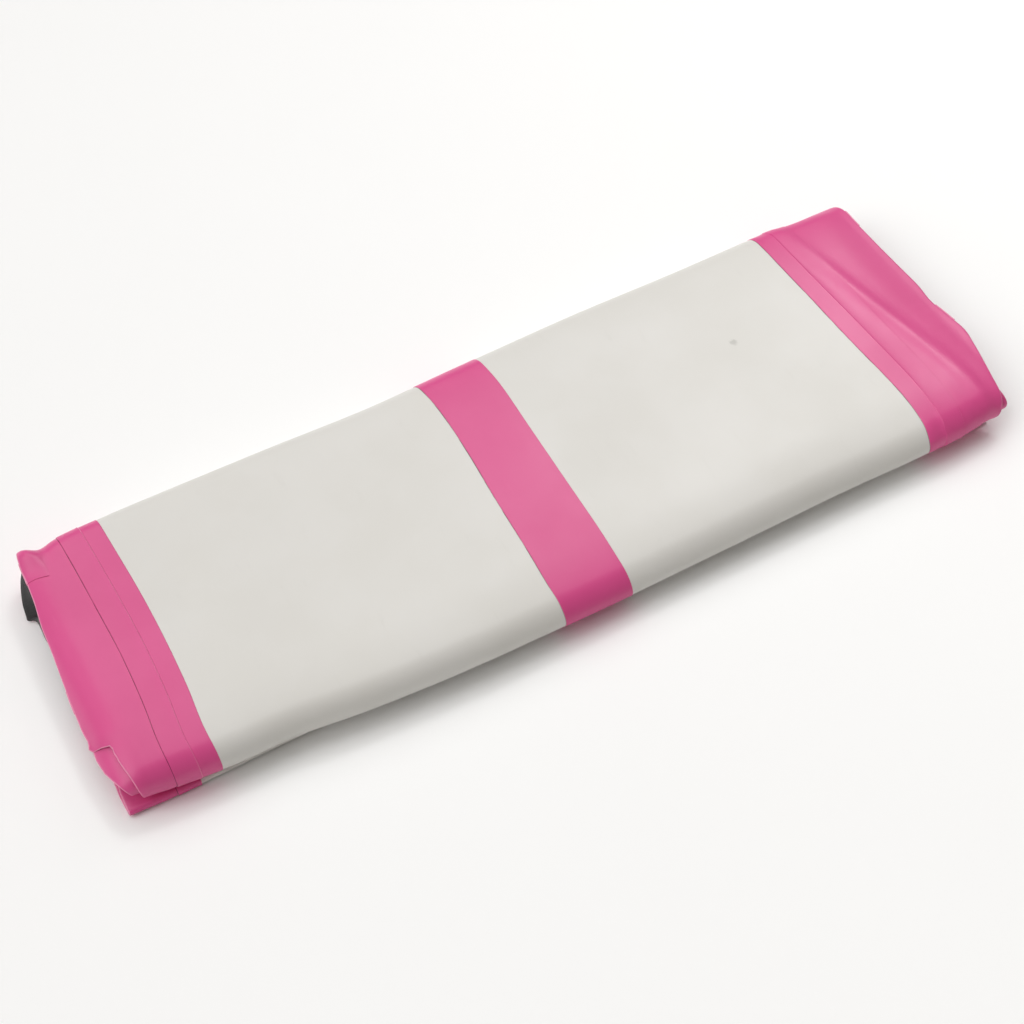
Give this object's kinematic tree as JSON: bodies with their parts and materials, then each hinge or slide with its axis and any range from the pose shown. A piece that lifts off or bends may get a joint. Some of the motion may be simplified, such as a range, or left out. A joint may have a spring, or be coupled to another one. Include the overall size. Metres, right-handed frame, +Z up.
{
  "type": "folded inflatable air track mat",
  "caption": "Deflated drop-stitch air track mat folded flat over and over into a long pack, with pink ends and centre stripe, webbing carry handles and an inflation valve.",
  "frame": {"origin": "middle of the pack's footprint, on the surface it lies on", "axes": "+X across the mat, along the pack; +Y from the pack's front edge to its back edge; +Z up"},
  "size_m": [1.132, 0.366, 0.06],
  "materials": {
    "white_skin": "satin coated fabric",
    "pink_pvc": "satin coated fabric",
    "yarn": "matt polyester yarn",
    "webbing": "woven webbing",
    "valve_plastic": "fine moulded texture",
    "cap_plastic": "fine moulded texture",
    "stem_plastic": "smooth moulding",
    "rubber": "matt",
    "spring_steel": "drawn wire"
  },
  "bodies": {
    "base": {"outer_skin_tail": "white_skin", "yarn_core_tail": "yarn", "inner_skin_tail": "white_skin", "centre_stripe_tail": "pink_pvc", "seam_tape_tail": "pink_pvc", "side_wall_left_tail": "pink_pvc", "side_wall_right_tail": "pink_pvc", "outer_skin_base": "white_skin", "yarn_core_base": "yarn", "inner_skin_base": "white_skin", "centre_stripe_base": "pink_pvc", "seam_tape_base": "pink_pvc", "side_wall_left_base": "pink_pvc", "side_wall_right_base": "pink_pvc", "end_wall_tail": "pink_pvc"},
    "spine": {"outer_skin_spine": "white_skin", "yarn_core_spine": "yarn", "inner_skin_spine": "white_skin", "centre_stripe_spine": "pink_pvc", "seam_tape_spine": "pink_pvc", "side_wall_left_spine": "pink_pvc", "side_wall_right_spine": "pink_pvc"},
    "roll": {"outer_skin_roll": "white_skin", "yarn_core_roll": "yarn", "inner_skin_roll": "white_skin", "centre_stripe_roll": "pink_pvc", "seam_tape_roll": "pink_pvc", "side_wall_left_roll": "pink_pvc", "side_wall_right_roll": "pink_pvc", "end_wall_roll": "pink_pvc", "handle_patches_left": "pink_pvc", "handle_patches_right": "pink_pvc", "valve_pocket": "pink_pvc", "valve_gasket": "rubber", "valve_body": "valve_plastic", "valve_nut": "valve_plastic"},
    "handle_left": {"handle_webbing_left": "webbing"},
    "handle_right": {"handle_webbing_right": "webbing"},
    "stem": {"valve_stem": "stem_plastic", "valve_seal": "rubber", "valve_spring": "spring_steel"},
    "tether": {"cap_tether": "cap_plastic"},
    "cap": {"valve_cap": "cap_plastic"}
  },
  "joints": [
    {"name": "fold_lower", "type": "hinge", "parent": "base", "child": "spine", "pos_m": [0, 0.1753, 0.0145], "axis": [-1, 0, 0], "range_deg": [0, 90]},
    {"name": "fold_upper", "type": "hinge", "parent": "spine", "child": "roll", "pos_m": [0, 0.1753, 0.0523], "axis": [-1, 0, 0], "range_deg": [0, 90]},
    {"name": "handle_left_swing", "type": "hinge", "parent": "roll", "child": "handle_left", "pos_m": [-0.5502, 0.05, 0.0502], "axis": [0, 1, 0], "range_deg": [0, 95]},
    {"name": "handle_right_swing", "type": "hinge", "parent": "roll", "child": "handle_right", "pos_m": [0.5502, 0.05, 0.0502], "axis": [0, -1, 0], "range_deg": [0, 95]},
    {"name": "cap_swing", "type": "hinge", "parent": "roll", "child": "tether", "pos_m": [0.5522, -0.121, 0.0307], "axis": [0, 0, -1], "range_deg": [0, 100]},
    {"name": "cap_twist", "type": "hinge", "parent": "tether", "child": "cap", "pos_m": [0.558, -0.095, 0.0307], "axis": [1, 0, 0], "range_deg": [0, 90]},
    {"name": "stem_push", "type": "slide", "parent": "roll", "child": "stem", "axis": [-1, 0, 0], "range_m": [0, 0.004], "stiffness_N_per_m": 900, "springref_m": -0.002, "deforming": ["valve_spring"]}
  ],
  "couplings": [
    {"joint": "fold_upper", "follows": "fold_lower", "ratio": 1}
  ]
}
